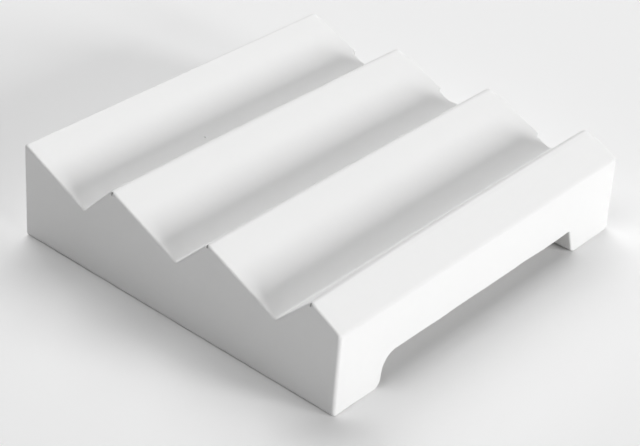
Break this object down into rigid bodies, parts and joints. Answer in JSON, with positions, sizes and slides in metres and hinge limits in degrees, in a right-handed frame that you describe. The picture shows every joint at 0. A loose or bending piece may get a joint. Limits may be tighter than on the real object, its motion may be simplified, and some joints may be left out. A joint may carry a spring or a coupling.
{
  "type": "plaster frieze section",
  "caption": "Cast plaster frieze section with saw-tooth ribs across its face and a hollow back between two bearing rims, cut square at both ends.",
  "frame": {"origin": "middle of the back's footprint, on the plane of the two bearing rims", "axes": "+X along the frieze, the way the long slopes fall; +Y along the ribs, which is the frieze's height; +Z out of the back, through the ribbed face"},
  "size_m": [0.151, 0.1598, 0.0385],
  "materials": {
    "cast_plaster": "matt white cast plaster, smooth on the ribs, slightly rougher on the back"
  },
  "bodies": {
    "root": {"frieze_section": "cast_plaster"}
  },
  "joints": []
}
